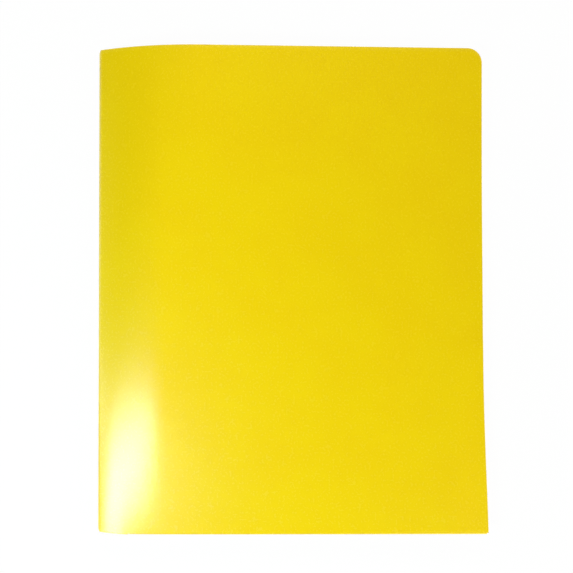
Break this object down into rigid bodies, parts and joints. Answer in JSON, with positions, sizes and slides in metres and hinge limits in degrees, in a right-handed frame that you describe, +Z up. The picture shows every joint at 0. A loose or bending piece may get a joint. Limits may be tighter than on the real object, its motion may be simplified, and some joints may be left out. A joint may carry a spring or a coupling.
{
  "type": "two pocket folder",
  "caption": "Closed plastic paper folder with a narrow creased spine, a springy bowed front cover and a folded, welded pocket inside each cover.",
  "frame": {"origin": "centre of the closed folder's footprint, on the underside of the back cover", "axes": "+Z up from the table, +Y from the pockets' folded edge to the top edge, +X from the spine to the free edge"},
  "size_m": [0.2394, 0.298, 0.0157],
  "materials": {
    "sheet": "satin",
    "crease": "satin",
    "weld": "satin"
  },
  "bodies": {
    "back": {"back_cover": "sheet", "back_crease": "crease", "back_pocket": "sheet", "back_pocket_fold": "sheet", "back_pocket_weld": "weld"},
    "spine": {"spine_strip": "sheet", "front_crease": "crease"},
    "front": {"front_cover": "sheet", "front_pocket": "sheet", "front_pocket_fold": "sheet", "front_pocket_weld": "weld"}
  },
  "joints": [
    {"name": "back_crease_hinge", "type": "hinge", "parent": "back", "child": "spine", "pos_m": [-0.11949, 0, 0.00025], "axis": [0, -1, 0], "range_deg": [0, 114]},
    {"name": "front_crease_hinge", "type": "hinge", "parent": "spine", "child": "front", "pos_m": [-0.11691, 0, 0.00605], "axis": [0, -1, 0], "range_deg": [0, 62]}
  ]
}
